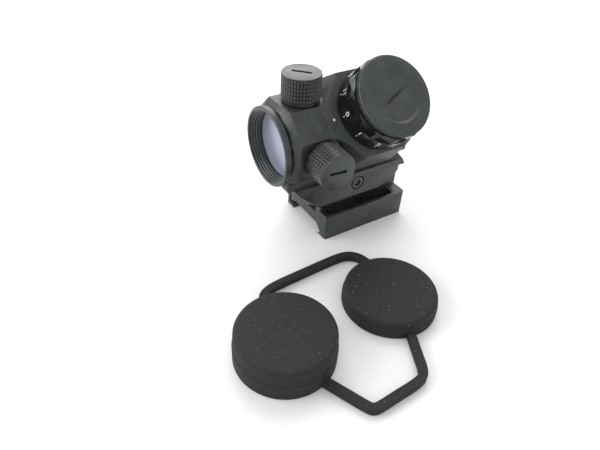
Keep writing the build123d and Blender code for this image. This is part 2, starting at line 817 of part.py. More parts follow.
# lead from the board down to the emitter's side of the bore
save(disc(dial_plane(bore_radius + 0.05), 0.5, hub_floor_top - bore_radius - 0.05), "emitter_lead")

index_y = -17.8
with BuildPart() as index_mark:
    with BuildSketch(Plane(origin=(facet * root_half, index_y, tube_height + facet * root_half),
                           x_dir=(0, 1, 0), z_dir=(1, 0, 1))):
        Circle(index_dot_radius)
    extrude(amount=0.06)
save(index_mark.part, "index_mark")


# ---------------------------------------------------------------- lens cover
def cup(centre, radius, height):
    """Closed cup lying mouth down, with a slightly wider lower half and a rounded top edge."""
    with BuildPart() as shell:
        with BuildSketch(Plane.XY.offset(floor_z)):
            with Locations(centre):
                Circle(radius)
        extrude(amount=height)
        fillet(shell.edges().sort_by(Axis.Z)[-1], 1.4)
        with BuildSketch(Plane.XY.offset(floor_z)):
            with Locations(centre):
                Circle(radius + cup_skirt)
        extrude(amount=height * 0.5)
        with BuildSketch(Plane.XY.offset(floor_z)):
            with Locations(centre):
                Circle(cup_bore)
        extrude(amount=height - cup_roof, mode=Mode.SUBTRACT)
    return shell.part


left_strap = [(38.0, -15.0), (31.0, -16.6), (28.4, -22.0), (29.3, -51.0), (31.6, -56.2), (38.9, -58.4)]
left_bends = [3.0, 5.0, 8.0, 3.0]
right_strap = [(67.2, -22.4), (81.0, -28.2), (84.5, -34.0), (85.2, -50.4), (69.0, -57.6)]
right_bends = [3.0, 8.0, 1.9]
with BuildPart() as straps:
    for points, bends in ((left_strap, left_bends), (right_strap, right_bends)):
        with BuildSketch(Plane.XY.offset(floor_z + strap_lift)):
            with BuildLine():
                FilletPolyline(*points, radius=bends)
            trace(line_width=strap_width)
        extrude(amount=strap_thickness)
cover = cup(large_cup, large_cup_radius, large_cup_height) + cup(small_cup, small_cup_radius, small_cup_height)
lens_cover = cover + straps.part
for centre, height in ((large_cup, large_cup_height), (small_cup, small_cup_height)):
    lens_cover -= disc(Plane(origin=(*centre, floor_z)), cup_bore, height - cup_roof)
save(lens_cover, "lens_cover")
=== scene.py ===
"""Looks of a tube red dot sight on a clamp-on riser, with its rubber lens cover lying beside it.

The frame has +Y forward, +X to the user's right and +Z up, in metres. Turned pieces are modelled
about the Z axis first and are then laid into place, so that their stations read as heights.
"""

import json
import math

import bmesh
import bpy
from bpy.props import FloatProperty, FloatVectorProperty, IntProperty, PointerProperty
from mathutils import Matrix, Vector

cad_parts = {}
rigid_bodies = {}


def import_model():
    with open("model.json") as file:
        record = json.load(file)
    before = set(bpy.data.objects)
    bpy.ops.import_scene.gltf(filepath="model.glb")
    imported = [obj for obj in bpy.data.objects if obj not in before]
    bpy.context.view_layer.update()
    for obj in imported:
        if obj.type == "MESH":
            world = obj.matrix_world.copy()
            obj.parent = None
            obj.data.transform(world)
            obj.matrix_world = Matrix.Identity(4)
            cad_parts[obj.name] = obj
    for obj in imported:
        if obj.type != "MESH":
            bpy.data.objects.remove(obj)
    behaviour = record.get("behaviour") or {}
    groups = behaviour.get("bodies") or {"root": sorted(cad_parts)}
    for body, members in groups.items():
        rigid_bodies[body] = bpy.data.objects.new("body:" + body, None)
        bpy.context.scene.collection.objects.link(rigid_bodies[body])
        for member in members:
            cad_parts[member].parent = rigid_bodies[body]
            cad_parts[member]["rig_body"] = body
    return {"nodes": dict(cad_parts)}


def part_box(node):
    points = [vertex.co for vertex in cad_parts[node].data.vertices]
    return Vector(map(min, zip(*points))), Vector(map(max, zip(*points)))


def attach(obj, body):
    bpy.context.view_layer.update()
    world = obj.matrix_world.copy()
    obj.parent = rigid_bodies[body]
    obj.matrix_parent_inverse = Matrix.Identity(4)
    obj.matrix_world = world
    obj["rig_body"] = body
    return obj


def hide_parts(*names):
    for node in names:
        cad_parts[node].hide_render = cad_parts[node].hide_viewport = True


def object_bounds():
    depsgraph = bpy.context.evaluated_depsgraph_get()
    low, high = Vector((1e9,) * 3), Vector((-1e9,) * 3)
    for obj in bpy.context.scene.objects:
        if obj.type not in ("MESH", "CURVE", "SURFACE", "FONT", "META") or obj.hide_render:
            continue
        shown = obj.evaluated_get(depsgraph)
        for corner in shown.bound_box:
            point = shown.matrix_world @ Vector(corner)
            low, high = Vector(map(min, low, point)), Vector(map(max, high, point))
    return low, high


bl_info = {
    "name": "Red Dot Sight",
    "version": (1, 0, 0),
    "blender": (4, 5, 0),
    "location": "View3D > Sidebar > Sight",
    "description": "Finishes a tube red dot sight, its riser and its lens cover around their packed frame",
    "category": "Add Mesh",
}

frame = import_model()
CAD_BOX = [list(corner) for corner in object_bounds()]
MM = 0.001
TINY = 0.002 * MM         # doubles closer than this are one point


# ---------------------------------------------------------------- places read from the frame
def middle(node):
    low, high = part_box(node)
    return (low + high) / 2


def place(origin, x_axis, z_axis):
    """Matrix that lays a piece's own X and Z along two directions, with its origin at a point."""
    z = Vector(z_axis).normalized()
    x = Vector(x_axis).normalized()
    made = Matrix((x, z.cross(x), z)).transposed().to_4x4()
    made.translation = origin
    return made


def stations(node, where):
    """Lowest and highest station of a CAD node along a place's Z axis, and its largest radius about it."""
    inverse = where.inverted()
    points = [inverse @ vertex.co for vertex in frame["nodes"][node].data.vertices]
    heights = [point.z for point in points]
    return min(heights), max(heights), max(math.hypot(point.x, point.y) for point in points)


TUBE_Z = middle("eyepiece_ring").z
TUBE = place((0, 0, TUBE_Z), (1, 0, 0), (0, 1, 0))
ELEVATION = place((0, middle("elevation_cap").y, TUBE_Z), (1, 0, 0), (0, 0, 1))
WINDAGE = place((0, middle("windage_cap").y, TUBE_Z), (0, 1, 0), (1, 0, 0))
DIAL = place((0, middle("brightness_dial").y, TUBE_Z), (0, 1, 0), (1, 0, 1))
FLOOR_Z = CAD_BOX[0][2]

# material slot of each CAD node in the record, kept before the materials are changed
NODE_SLOTS = {name: piece.material_slots[0].material.name for name, piece in frame["nodes"].items()}


# ---------------------------------------------------------------- sizes and colours that a user may change
class SightFinish(bpy.types.PropertyGroup):
    body_colour: FloatVectorProperty(
        name="Body colour", description="Anodised body, foot and riser", subtype="COLOR",
        default=(0.024, 0.0285, 0.029), min=0, max=1)
    cap_colour: FloatVectorProperty(
        name="Cap colour", description="Knurled turret caps and the battery cap", subtype="COLOR",
        default=(0.026, 0.031, 0.0315), min=0, max=1)
    dial_colour: FloatVectorProperty(
        name="Dial colour", description="Glossy brightness dial", subtype="COLOR",
        default=(0.006, 0.006, 0.007), min=0, max=1)
    mark_colour: FloatVectorProperty(
        name="Mark colour", description="Numerals and the index dot", subtype="COLOR",
        default=(0.78, 0.78, 0.76), min=0, max=1)
    rubber_colour: FloatVectorProperty(
        name="Rubber colour", description="Lens cover", subtype="COLOR",
        default=(0.0145, 0.0158, 0.0162), min=0, max=1)
    coating_colour: FloatVectorProperty(
        name="Coating colour", description="Reflection of the coated eyepiece glass", subtype="COLOR",
        default=(0.50, 0.53, 0.66), min=0, max=1)
    edge_round: FloatProperty(
        name="Edge rounding", description="Rounding of the machined edges", unit="LENGTH",
        default=0.22 * MM, min=0, max=1 * MM)


class KnurlSizes(bpy.types.PropertyGroup):
    ribs: IntProperty(name="Ribs", description="Knurls round a turret cap", default=40, min=12, max=90)
    rows: IntProperty(name="Rows", description="Knurls along a turret cap", default=6, min=1, max=12)
    depth: FloatProperty(
        name="Depth", description="Height of a knurl", unit="LENGTH", default=0.42 * MM, min=0, max=1 * MM)
    flank: FloatProperty(
        name="Flank", description="Width of a knurl's slope", unit="LENGTH", default=0.32 * MM,
        min=0.02 * MM, max=1 * MM)
    slot_length: FloatProperty(
        name="Slot length", description="Coin slot of a turret cap", unit="LENGTH", default=7.0 * MM,
        min=1 * MM, max=12 * MM)
    slot_width: FloatProperty(
        name="Slot width", description="Width of the turret slots", unit="LENGTH", default=1.3 * MM,
        min=0.2 * MM, max=3 * MM)


class DialSizes(bpy.types.PropertyGroup):
    settings: IntProperty(
        name="Settings", description="Brightness settings round the dial", default=12, min=2, max=24)
    numeral_height: FloatProperty(
        name="Numeral height", description="Height of a numeral", unit="LENGTH", default=2.2 * MM,
        min=0.5 * MM, max=5 * MM)
    scallop_radius: FloatProperty(
        name="Scallop radius", description="Cutter radius of a finger scallop", unit="LENGTH",
        default=14.0 * MM, min=3 * MM, max=40 * MM)
    scallop_depth: FloatProperty(
        name="Scallop depth", description="Depth of a finger scallop", unit="LENGTH", default=0.8 * MM,
        min=0, max=1.4 * MM)
    teeth: IntProperty(
        name="Teeth", description="Fine teeth round the battery cap", default=100, min=24, max=240)
    dish_radius: FloatProperty(
        name="Dish radius", description="Recess in the battery cap's face", unit="LENGTH", default=9.4 * MM,
        min=2 * MM, max=13 * MM)
    dish_depth: FloatProperty(
        name="Dish depth", description="Depth of that recess", unit="LENGTH", default=0.7 * MM,
        min=0, max=1 * MM)


class CoverSizes(bpy.types.PropertyGroup):
    edge_radius: FloatProperty(
        name="Edge radius", description="Rounding of a cup's top edge", unit="LENGTH", default=1.5 * MM,
        min=0.2 * MM, max=3 * MM)
    strap_width: FloatProperty(
        name="Strap width", description="Width of the moulded straps", unit="LENGTH", default=2.8 * MM,
        min=1 * MM, max=5 * MM)
    strap_thickness: FloatProperty(
        name="Strap thickness", description="Thickness of the moulded straps", unit="LENGTH",
        default=2.5 * MM, min=1 * MM, max=4 * MM)


class StudioSettings(bpy.types.PropertyGroup):
    key_power: FloatProperty(
        name="Key light", description="Power of the big softbox", unit="POWER", default=4.5, min=0, max=200)
    fill_power: FloatProperty(
        name="Fill light", description="Power of the softbox on the right", unit="POWER", default=0.4,
        min=0, max=200)
    rear_power: FloatProperty(
        name="Rear light", description="Power of the softbox behind the eyepiece", unit="POWER", default=3.0,
        min=0, max=200)
    sky_strength: FloatProperty(
        name="Room light", description="Even light of the white room", default=0.84, min=0, max=5)


SETTINGS = {
    "sight_finish": SightFinish,
    "sight_knurls": KnurlSizes,
    "sight_dial": DialSizes,
    "sight_cover": CoverSizes,
    "sight_studio": StudioSettings,
}


# ---------------------------------------------------------------- shader groups
def add_node(tree, kind, **settings):
    """Shader node with its settings; a key that names an input sets that input."""
    made = tree.nodes.new(kind)
    for key, value in settings.items():
        if key in made.inputs:
            made.inputs[key].default_value = value
        else:
            setattr(made, key, value)
    return made


def math_node(tree, operation, first, second=0.5):
    """Math node fed by sockets or numbers; its result is returned."""
    made = tree.nodes.new("ShaderNodeMath")
    made.operation = operation
    for socket, value in zip(made.inputs, (first, second)):
        if isinstance(value, bpy.types.NodeSocket):
            tree.links.new(value, socket)
        else:
            socket.default_value = value
    return made.outputs[0]


def spread(tree, value, low, high, out_low=0.0, out_high=1.0):
    """Smooth step of a value from one range to another."""
    made = add_node(tree, "ShaderNodeMapRange", interpolation_type="SMOOTHSTEP")
    tree.links.new(value, made.inputs["Value"])
    made.inputs["From Min"].default_value = low
    made.inputs["From Max"].default_value = high
    made.inputs["To Min"].default_value = out_low
    made.inputs["To Max"].default_value = out_high
    return made.outputs["Result"]


def mix_colours(tree, mask, first, second):
    """The first colour where the mask is 0 and the second where it is 1; each is a socket or a tuple."""
    made = add_node(tree, "ShaderNodeMix", data_type="RGBA")
    tree.links.new(mask, made.inputs["Factor"])
    colours = [socket for socket in made.inputs if socket.type == "RGBA"]
    for socket, value in zip(colours, (first, second)):
        if isinstance(value, bpy.types.NodeSocket):
            tree.links.new(value, socket)
        else:
            socket.default_value = (*value, 1.0)
    return next(socket for socket in made.outputs if socket.type == "RGBA")


def new_group(name, inputs, outputs):
    """Empty shader group; inputs maps a name to its default, and outputs lists names."""
    tree = bpy.data.node_groups.new(name, "ShaderNodeTree")
    for label, default in inputs.items():
        socket = tree.interface.new_socket(name=label, in_out="INPUT", socket_type="NodeSocketFloat")
        socket.default_value = default
    for label in outputs:
        tree.interface.new_socket(name=label, in_out="OUTPUT", socket_type="NodeSocketFloat")
    return tree, tree.nodes.new("NodeGroupInput"), tree.nodes.new("NodeGroupOutput")


def object_noise(tree, scale, detail=2.0, roughness=0.5):
    """Noise on Object coordinates; the scale is a number or a socket."""
    coordinates = tree.nodes.new("ShaderNodeTexCoord")
    noise = add_node(tree, "ShaderNodeTexNoise", Detail=detail, Roughness=roughness)
    tree.links.new(coordinates.outputs["Object"], noise.inputs["Vector"])
    if isinstance(scale, bpy.types.NodeSocket):
        tree.links.new(scale, noise.inputs["Scale"])
    else:
        noise.inputs["Scale"].default_value = scale
    return noise.outputs["Fac"]


def grain_group():
    """Fine blasted grain, and broad mottling of the finish."""
    scales = {"Scale": 4000.0, "Mottle Scale": 160.0}
    tree, given, result = new_group("Blasted Grain", scales, ["Height", "Mottle"])
    fine = object_noise(tree, given.outputs["Scale"])
    broad = object_noise(tree, given.outputs["Mottle Scale"], detail=3.0, roughness=0.6)
    tree.links.new(fine, result.inputs["Height"])
    tree.links.new(spread(tree, broad, 0.35, 0.65), result.inputs["Mottle"])
    return tree


def wear_group():
    """Mask of the sharp edges, broken up by noise, where a finish has rubbed thin and where a painted
    highlight lightens it.
    """
    tree, given, result = new_group("Edge Wear", {"Radius": 0.25 * MM, "Amount": 0.5}, ["Mask"])
    rounded = add_node(tree, "ShaderNodeBevel", samples=4)
    tree.links.new(given.outputs["Radius"], rounded.inputs["Radius"])
    surface = tree.nodes.new("ShaderNodeNewGeometry")
    dot = add_node(tree, "ShaderNodeVectorMath", operation="DOT_PRODUCT")
    tree.links.new(rounded.outputs["Normal"], dot.inputs[0])
    tree.links.new(surface.outputs["Normal"], dot.inputs[1])
    # the mask marks the rounded edges, for wear and for a painted highlight
    edge = spread(tree, dot.outputs["Value"], 0.995, 0.90)
    rubbing = object_noise(tree, scale=900.0, detail=4.0, roughness=0.65)
    broken = spread(tree, rubbing, 0.34, 0.62)
    mask = math_node(tree, "MULTIPLY", edge, broken)
    tree.links.new(math_node(tree, "MULTIPLY", mask, given.outputs["Amount"]), result.inputs["Mask"])
    return tree


def dust_group():
    """Specks of dust that lie on what faces up."""
    tree, given, result = new_group("Dust", {"Scale": 1500.0, "Amount": 0.5}, ["Mask"])
    surface = tree.nodes.new("ShaderNodeNewGeometry")
    parts = tree.nodes.new("ShaderNodeSeparateXYZ")
    tree.links.new(surface.outputs["Normal"], parts.inputs["Vector"])
    upward = spread(tree, parts.outputs["Z"], -0.2, 0.8, 0.15, 1.0)
    specks = spread(tree, object_noise(tree, given.outputs["Scale"]), 0.69, 0.76)
    haze = object_noise(tree, scale=900.0, detail=6.0, roughness=0.75)
    film = spread(tree, haze, 0.42, 0.75, 0.0, 0.12)
    dust = math_node(tree, "MULTIPLY", math_node(tree, "MAXIMUM", specks, film), upward)
    tree.links.new(math_node(tree, "MULTIPLY", dust, given.outputs["Amount"]), result.inputs["Mask"])
    return tree


def grime_group():
    """Mask of painted shade in the slots, roots and corners, which grows where nearby surfaces close over a
    point.
    """
    tree, given, result = new_group("Recess Grime", {"Reach": 1.4 * MM, "Amount": 0.7}, ["Mask"])
    openness = add_node(tree, "ShaderNodeAmbientOcclusion", samples=8)
    tree.links.new(given.outputs["Reach"], openness.inputs["Distance"])
    # painted shade: the less open a point is, the darker it is painted
    closed = spread(tree, openness.outputs["AO"], 0.86, 0.42)
    tree.links.new(math_node(tree, "MULTIPLY", closed, given.outputs["Amount"]), result.inputs["Mask"])
    return tree


def lint_group():
    """Short pale fibres and flecks, as cling to rubber."""
    tree, given, result = new_group("Lint", {"Scale": 620.0, "Amount": 0.6}, ["Mask"])
    coordinates = tree.nodes.new("ShaderNodeTexCoord")
    masks = []
    lays = ((0.5, 0.3), (1.7, 0.4), (2.6, 0.55))      # how far each set of fibres is turned and drawn out
    for turn, stretch in lays:
        mapping = add_node(tree, "ShaderNodeMapping")
        mapping.inputs["Rotation"].default_value = (0.0, 0.0, turn)
        mapping.inputs["Scale"].default_value = (stretch, 1.0, 1.0)
        tree.links.new(coordinates.outputs["Object"], mapping.inputs["Vector"])
        cells = add_node(tree, "ShaderNodeTexVoronoi", Randomness=1.0)
        tree.links.new(mapping.outputs["Vector"], cells.inputs["Vector"])
        tree.links.new(given.outputs["Scale"], cells.inputs["Scale"])
        fleck = spread(tree, cells.outputs["Distance"], 0.09, 0.03)
        chosen = tree.nodes.new("ShaderNodeSeparateColor")
        tree.links.new(cells.outputs["Color"], chosen.inputs["Color"])
        masks.append(math_node(tree, "MULTIPLY", fleck, spread(tree, chosen.outputs["Red"], 0.62, 0.95)))
    both = math_node(tree, "MAXIMUM", math_node(tree, "MAXIMUM", masks[0], masks[1]), masks[2])
    tree.links.new(math_node(tree, "MULTIPLY", both, given.outputs["Amount"]), result.inputs["Mask"])
    return tree


def use_group(tree, name, **inputs):
    """The named group placed in a material; its tree is built the first time."""
    builders = {
        "Blasted Grain": grain_group,
        "Edge Wear": wear_group,
        "Dust": dust_group,
        "Lint": lint_group,
        "Recess Grime": grime_group,
    }
    if name not in bpy.data.node_groups:
        builders[name]()
    made = tree.nodes.new("ShaderNodeGroup")
    made.node_tree = bpy.data.node_groups[name]
    for label, value in inputs.items():
        made.inputs[label.replace("_", " ")].default_value = value
    return made


# ---------------------------------------------------------------- materials
def new_material(name):
    """New material, its node tree and its Principled shader."""
    material = bpy.data.materials.new("finish_" + name)
    material.use_nodes = True
    return material, material.node_tree, material.node_tree.nodes["Principled BSDF"]


def bump(tree, shader, height, distance):
    """Raises a shader's surface by a height mask, over a distance."""
    made = add_node(tree, "ShaderNodeBump", Distance=distance)
    tree.links.new(height, made.inputs["Height"])
    tree.links.new(made.outputs["Normal"], shader.inputs["Normal"])


def anodised(name, colour, roughness, grain=0.012 * MM, edge_wear_and_highlight=0.5, dust=0.5, recess_shade=0.7,
             worn_and_lit=(0.10, 0.105, 0.10)):
    """Blasted and anodised aluminium, its edges lightened by wear and a painted highlight, painted shade in
    its recesses, and a little dust on top.
    """
    material, tree, shader = new_material(name)
    blasted = use_group(tree, "Blasted Grain")
    darker = [channel * 0.72 for channel in colour]
    lighter = [channel * 1.25 for channel in colour]
    base = mix_colours(tree, blasted.outputs["Mottle"], darker, lighter)
    edges = use_group(tree, "Edge Wear", Radius=0.3 * MM, Amount=edge_wear_and_highlight)
    # edges lightened, partly for wear and partly as a painted highlight
    base = mix_colours(tree, edges.outputs["Mask"], base, worn_and_lit)
    specks = use_group(tree, "Dust", Amount=dust)
    base = mix_colours(tree, specks.outputs["Mask"], base, (0.34, 0.34, 0.32))
    # painted shade: slots, knurl roots and corners are darkened to near black
    recess = use_group(tree, "Recess Grime", Amount=recess_shade)
    base = mix_colours(tree, recess.outputs["Mask"], base, (0.003, 0.0035, 0.0035))
    tree.links.new(base, shader.inputs["Base Color"])
    gloss = spread(tree, blasted.outputs["Mottle"], 0.0, 1.0, roughness - 0.04, roughness + 0.05)
    tree.links.new(gloss, shader.inputs["Roughness"])
    shader.inputs["Specular IOR Level"].default_value = 0.6
    bump(tree, shader, blasted.outputs["Height"], grain)
    return material


def glossy(name, colour, roughness=0.14):
    """Lacquered black with faint handling marks."""
    material, tree, shader = new_material(name)
    grain = use_group(tree, "Blasted Grain", Scale=2600.0, Mottle_Scale=220.0)
    base = mix_colours(tree, grain.outputs["Mottle"], colour, [channel * 1.8 for channel in colour])
    edges = use_group(tree, "Edge Wear", Radius=0.2 * MM, Amount=0.35)
    # edges lightened, partly for wear and partly as a painted highlight
    base = mix_colours(tree, edges.outputs["Mask"], base, (0.06, 0.06, 0.06))
    tree.links.new(base, shader.inputs["Base Color"])
    gloss = spread(tree, grain.outputs["Mottle"], 0.0, 1.0, roughness, roughness + 0.1)
    tree.links.new(gloss, shader.inputs["Roughness"])
    shader.inputs["Specular IOR Level"].default_value = 0.55
    bump(tree, shader, grain.outputs["Height"], 0.004 * MM)
    return material


def rubber(name, colour, lint=0.0, roughness=0.72):
    """Moulded rubber: a dull skin, with lint and dust on the cover."""
    material, tree, shader = new_material(name)
    skin = use_group(tree, "Blasted Grain", Scale=2200.0, Mottle_Scale=900.0)
    base = mix_colours(tree, skin.outputs["Mottle"], colour, [channel * 1.45 for channel in colour])
    if lint > 0:
        specks = use_group(tree, "Dust", Scale=1100.0, Amount=lint * 0.6)
        base = mix_colours(tree, specks.outputs["Mask"], base, (0.42, 0.42, 0.40))
        fibres = use_group(tree, "Lint", Amount=lint)
        base = mix_colours(tree, fibres.outputs["Mask"], base, (0.5, 0.5, 0.48))
    tree.links.new(base, shader.inputs["Base Color"])
    dull = spread(tree, skin.outputs["Mottle"], 0.0, 1.0, roughness - 0.06, roughness + 0.1)
    tree.links.new(dull, shader.inputs["Roughness"])
    shader.inputs["Specular IOR Level"].default_value = 0.28
    bump(tree, shader, skin.outputs["Height"], 0.03 * MM)
    return material


def metal(name, colour, roughness, metallic=1.0):
    """Bare or plated metal with fine marks and dull patches."""
    material, tree, shader = new_material(name)
    marks = use_group(tree, "Blasted Grain", Scale=3000.0, Mottle_Scale=400.0)
    base = mix_colours(tree, marks.outputs["Mottle"], [channel * 0.8 for channel in colour], colour)
    tree.links.new(base, shader.inputs["Base Color"])
    tree.links.new(spread(tree, marks.outputs["Mottle"], 0.0, 1.0, roughness, roughness + 0.12),
                   shader.inputs["Roughness"])
    shader.inputs["Metallic"].default_value = metallic
    bump(tree, shader, marks.outputs["Height"], 0.005 * MM)
    return material


def glass(name, tint, ior, mirror=0.0, roughness=0.02, clearness=1.0):
    """Lens glass; the coating shows as the tint of what it reflects."""
    material, tree, shader = new_material(name)
    smudge = object_noise(tree, scale=260.0, detail=3.0, roughness=0.6)
    tree.links.new(spread(tree, smudge, 0.4, 0.75, roughness, roughness + 0.05), shader.inputs["Roughness"])
    shader.inputs["Base Color"].default_value = (*tint, 1.0)
    shader.inputs["Metallic"].default_value = mirror
    shader.inputs["Transmission Weight"].default_value = clearness
    shader.inputs["IOR"].default_value = ior
    shader.inputs["Specular Tint"].default_value = (*tint, 1.0)
    return material


def painted(name, colour, roughness=0.5, glow=0.0):
    """Flat paint or moulded plastic with slight unevenness."""
    material, tree, shader = new_material(name)
    uneven = use_group(tree, "Blasted Grain", Scale=3500.0, Mottle_Scale=500.0)
    base = mix_colours(tree, uneven.outputs["Mottle"], [channel * 0.82 for channel in colour], colour)
    tree.links.new(base, shader.inputs["Base Color"])
    shader.inputs["Roughness"].default_value = roughness
    shader.inputs["Emission Color"].default_value = (*colour, 1.0)
    shader.inputs["Emission Strength"].default_value = glow
    bump(tree, shader, uneven.outputs["Height"], 0.006 * MM)
    return material


def build_finishes(finish):
    """Every material of the sight, by the name of its slot in the record."""
    body = tuple(finish.body_colour)
    cap = tuple(finish.cap_colour)
    return {
        "body_anodised": anodised("body_anodised", body, roughness=0.42),
        "riser_anodised": anodised("riser_anodised", body, roughness=0.46),
        "ring_anodised": anodised("ring_anodised", body, roughness=0.36, edge_wear_and_highlight=0.4, dust=0.3),
        "cap_anodised": anodised("cap_anodised", cap, roughness=0.38, edge_wear_and_highlight=0.8),
        "battery_cap_anodised": anodised(
            "battery_cap_anodised", cap, roughness=0.44, edge_wear_and_highlight=0.5, dust=0.25, recess_shade=1.0),
        "dial_gloss": glossy("dial_gloss", tuple(finish.dial_colour)),
        "screw_black": metal("screw_black", (0.10, 0.10, 0.105), roughness=0.3, metallic=0.85),
        "coated_glass": glass(
            "coated_glass", tuple(finish.coating_colour), ior=1.6, mirror=0.3, roughness=0.2, clearness=0.5),
        "clear_glass": glass("clear_glass", (0.95, 0.85, 0.80), ior=1.6),
        "cover_rubber": rubber("cover_rubber", tuple(finish.rubber_colour), lint=0.45),
        "seal_rubber": rubber("seal_rubber", (0.010, 0.010, 0.010), roughness=0.55),
        "brass": metal("brass", (0.62, 0.44, 0.19), roughness=0.28),
        "tube_black": painted("tube_black", (0.012, 0.012, 0.013), roughness=0.6),
        "spring_steel": metal("spring_steel", (0.45, 0.45, 0.46), roughness=0.25),
        "pin_steel": metal("pin_steel", (0.5, 0.5, 0.5), roughness=0.22),
        "battery_steel": metal("battery_steel", (0.66, 0.66, 0.65), roughness=0.2),
        "board_green": painted("board_green", (0.02, 0.12, 0.05), roughness=0.4),
        "emitter_red": painted("emitter_red", (0.5, 0.02, 0.02), roughness=0.3, glow=0.4),
        "index_white": painted("index_white", tuple(finish.mark_colour), roughness=0.5),
    }


def finish_of(slot):
    """The finished material of one of the record's slots."""
    return bpy.data.materials["finish_" + slot]


# ---------------------------------------------------------------- modelling by hand, in small steps
def deselect():
    """Leaves edit mode and selects nothing."""
    if bpy.context.object and bpy.context.object.mode != "OBJECT":
        bpy.ops.object.mode_set(mode="OBJECT")
    bpy.ops.object.select_all(action="DESELECT")


def activate(piece):
    """Makes a piece the one that operators act on."""
    deselect()
    piece.select_set(True)
    bpy.context.view_layer.objects.active = piece


def bake_place(piece, where=None):
    """Puts a piece's place, and a further one if given, into its mesh."""
    piece.data.transform(piece.matrix_world)
    piece.matrix_world = Matrix.Identity(4)
    if where is not None:
        piece.data.transform(where)


def apply_modifier(piece, name, kind, **settings):
    """Adds a modifier with its settings and applies it."""
    modifier = piece.modifiers.new(name, kind)
    for key, value in settings.items():
        setattr(modifier, key, value)
    activate(piece)
    bpy.ops.object.modifier_apply(modifier=modifier.name)


def smooth(piece, degrees=32):
    """Smooth shading, kept sharp where faces meet at more than an angle."""
    activate(piece)
    bpy.ops.object.shade_smooth_by_angle(angle=math.radians(degrees))


def turned(name, outline, around, hollow=False):
    """A circle carried along an outline of (radius, height) stations.

    A solid piece starts and ends in a flat face; a hollow one is bridged from its last station to its first.
    """
    radius, height = outline[0]
    deselect()
    bpy.ops.mesh.primitive_circle_add(
        vertices=around, radius=radius, location=(0, 0, height), fill_type="NOTHING" if hollow else "NGON")
    piece = bpy.context.object
    piece.name = name
    bake_place(piece)
    bpy.ops.object.mode_set(mode="EDIT")
    bpy.ops.mesh.select_mode(type="EDGE" if hollow else "FACE")
    bpy.ops.mesh.select_all(action="SELECT")
    for next_radius, next_height in outline[1:]:
        if hollow:
            bpy.ops.mesh.extrude_edges_move(TRANSFORM_OT_translate={"value": (0, 0, next_height - height)})
        else:
            bpy.ops.mesh.extrude_region_move(TRANSFORM_OT_translate={"value": (0, 0, next_height - height)})
        share = next_radius / radius
        bpy.ops.transform.resize(value=(share, share, 1), center_override=(0, 0, next_height))
        radius, height = next_radius, next_height
    if hollow:
        bpy.ops.mesh.select_non_manifold()
        bpy.ops.mesh.bridge_edge_loops()
    bpy.ops.mesh.select_all(action="SELECT")
    bpy.ops.mesh.normals_make_consistent(inside=False)
    bpy.ops.object.mode_set(mode="OBJECT")
    return piece


def arc(centre_radius, centre_height, size, start, end, steps):
    """Stations along a round edge, from one angle to another in degrees."""
    angles = [math.radians(start + (end - start) * step / steps) for step in range(steps + 1)]
    return [(centre_radius + size * math.cos(a), centre_height + size * math.sin(a)) for a in angles]


def raise_knurls(piece, low, high, flank, depth):
    """Insets each upright face between two heights and pushes it outward."""
    activate(piece)
    bpy.ops.object.mode_set(mode="EDIT")
    mesh = bmesh.from_edit_mesh(piece.data)
    for face in mesh.faces:
        middle_height = face.calc_center_median().z
        face.select_set(low < middle_height < high and abs(face.normal.z) < 0.2 and len(face.verts) == 4)
    bmesh.update_edit_mesh(piece.data)
    bpy.ops.mesh.inset(use_individual=True, thickness=flank, depth=depth)
    bpy.ops.object.mode_set(mode="OBJECT")


def cut(piece, cutter):
    """Takes the cutter away from the piece, and removes the cutter."""
    apply_modifier(piece, "cut", "BOOLEAN", operation="DIFFERENCE", object=cutter, solver="EXACT")
    bpy.data.objects.remove(cutter)


def block(size, location, turn=0.0):
    """Box cutter, turned about Z."""
    deselect()
    bpy.ops.mesh.primitive_cube_add(size=1, location=location, rotation=(0, 0, turn), scale=size)
    cutter = bpy.context.object
    bake_place(cutter)
    return cutter


def round_bar(radius, length, location, rotation, vertices):
    """Cylinder cutter, along Z before it is turned."""
    deselect()
    bpy.ops.mesh.primitive_cylinder_add(
        vertices=vertices, radius=radius, depth=length, location=location, rotation=rotation)
    cutter = bpy.context.object
    bake_place(cutter)
    return cutter


def join(pieces):
    """Joins pieces into the first of them."""
    deselect()
    for piece in pieces:
        piece.select_set(True)
    bpy.context.view_layer.objects.active = pieces[0]
    bpy.ops.object.join()
    return pieces[0]


def rounded_copy(node, name, width, segments=2, angle=35):
    """Merged copy of a CAD node with its sharp edges rounded."""
    piece = bpy.data.objects.new(name, frame["nodes"][node].data.copy())
    bpy.context.scene.collection.objects.link(piece)
    activate(piece)
    bpy.ops.object.mode_set(mode="EDIT")
    bpy.ops.mesh.select_all(action="SELECT")
    bpy.ops.mesh.remove_doubles(threshold=TINY)
    bpy.ops.mesh.dissolve_limited(angle_limit=math.radians(0.5))
    bpy.ops.object.mode_set(mode="OBJECT")
    if width > 0:
        apply_modifier(piece, "round", "BEVEL", width=width, segments=segments, limit_method="ANGLE",
                       angle_limit=math.radians(angle), use_clamp_overlap=True, miter_outer="MITER_ARC")
    smooth(piece)
    return piece


def seat(piece, node, where=None):
    """Gives a finished piece its place, and the material and body of the CAD node that it stands for, and
    hides that node.
    """
    bake_place(piece, where)
    piece.data.materials.clear()
    piece.data.materials.append(finish_of(NODE_SLOTS[node]))
    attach(piece, frame["nodes"][node]["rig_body"])
    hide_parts(node)
    return piece


# ---------------------------------------------------------------- pieces
class SIGHT_OT_finishes(bpy.types.Operator):
    """Build the materials and give every CAD node its own"""
    bl_idname = "sight.finishes"
    bl_label = "Finishes"

    def execute(self, context):
        finishes = build_finishes(context.scene.sight_finish)
        for name, piece in frame["nodes"].items():
            for slot in piece.material_slots:
                slot.material = finishes[NODE_SLOTS[name]]
        return {"FINISHED"}


